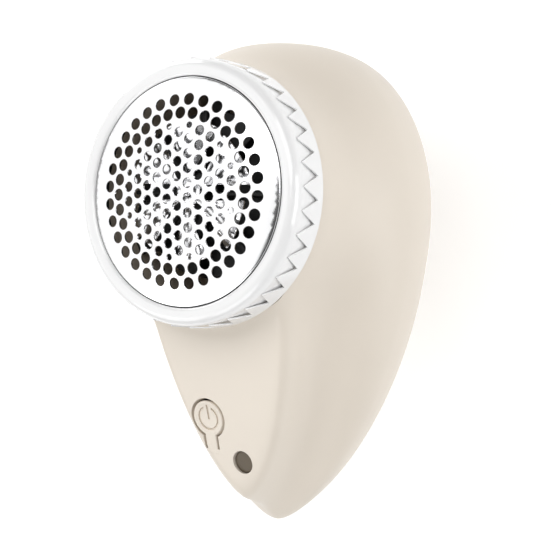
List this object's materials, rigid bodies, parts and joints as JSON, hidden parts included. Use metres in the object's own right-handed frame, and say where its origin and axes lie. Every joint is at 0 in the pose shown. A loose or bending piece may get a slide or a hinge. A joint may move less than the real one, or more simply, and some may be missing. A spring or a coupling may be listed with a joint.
{
  "type": "fabric shaver",
  "caption": "Pebble-shaped fabric shaver with a domed perforated foil in a toothed ring, a rotary cutter, a lint box and a tongue-style power button.",
  "frame": {"origin": "on the flat resting plane of the lint box, on the axis of the round cutting head", "axes": "+Z along the head axis, out through the foil; +Y from the handle tip towards the top of the body; +X to the right seen from the front"},
  "size_m": [0.0764, 0.1179, 0.067],
  "materials": {
    "shell_cream": "satin moulded plastic, warm cream",
    "button_cream": "satin moulded plastic, warm cream",
    "lint_box_cream": "satin moulded plastic, warm cream",
    "ring_white": "gloss white moulded plastic",
    "foil_steel": "bright polished stainless sheet",
    "cutter_chrome": "mirror-bright stainless",
    "chamber_plastic": "matte taupe plastic",
    "dark_plastic": "matte black plastic",
    "seal_rubber": "soft matte rubber",
    "motor_steel": "plated steel",
    "battery_wrap": "shrink wrap",
    "board_green": "solder mask",
    "light_white": "clear moulded lamp",
    "lens_smoke": "smoked translucent plastic"
  },
  "bodies": {
    "body": {"front_shell": "shell_cream", "rear_shell": "shell_cream", "lint_chamber": "chamber_plastic", "lint_seal": "seal_rubber", "motor_mount": "dark_plastic", "motor_can": "motor_steel", "motor_end_cap": "dark_plastic", "motor_screw_1": "motor_steel", "motor_screw_2": "motor_steel", "case_screw_1": "motor_steel", "case_screw_2": "motor_steel", "case_screw_3": "motor_steel", "case_screw_4": "motor_steel", "battery_pack": "battery_wrap", "battery_cradle": "dark_plastic", "circuit_board": "board_green", "battery_lead_positive": "seal_rubber", "battery_lead_negative": "seal_rubber", "charging_socket": "motor_steel", "switch_body": "dark_plastic", "status_light": "light_white", "indicator_lens": "lens_smoke", "interlock_switch": "dark_plastic"},
    "head_ring": {"foil_ring": "ring_white", "grip_band": "ring_white", "foil": "foil_steel"},
    "rotor": {"motor_shaft": "cutter_chrome", "impeller": "dark_plastic", "cutter_spacer": "dark_plastic", "six_leaf_cutter": "cutter_chrome"},
    "button": {"power_button": "button_cream"},
    "plunger": {"switch_plunger": "seal_rubber"},
    "lint_drawer": {"lint_box": "lint_box_cream"}
  },
  "joints": [
    {"name": "ring_twist", "type": "hinge", "parent": "body", "child": "head_ring", "pos_m": [0, 0, 0.0537], "axis": [0, 0, 1], "range_deg": [0, 25]},
    {"name": "cutter_spin", "type": "hinge", "parent": "body", "child": "rotor", "pos_m": [0, 0, 0.05], "axis": [0, 0, 1], "continuous": true},
    {"name": "button_press", "type": "hinge", "parent": "body", "child": "button", "pos_m": [-0.0067, -0.0618, 0.0375], "axis": [1, 0, 0], "range_deg": [-3, 0], "stiffness_Nm_per_rad": 0.5},
    {"name": "plunger_travel", "type": "slide", "parent": "body", "child": "plunger", "axis": [0, 0, -1], "range_m": [0, 0.0005]},
    {"name": "lint_box_pull", "type": "slide", "parent": "body", "child": "lint_drawer", "axis": [0, 0, -1], "range_m": [0, 0.03]}
  ],
  "couplings": [
    {"joint": "plunger_travel", "follows": "button_press", "m_per_rad": -0.0076}
  ]
}
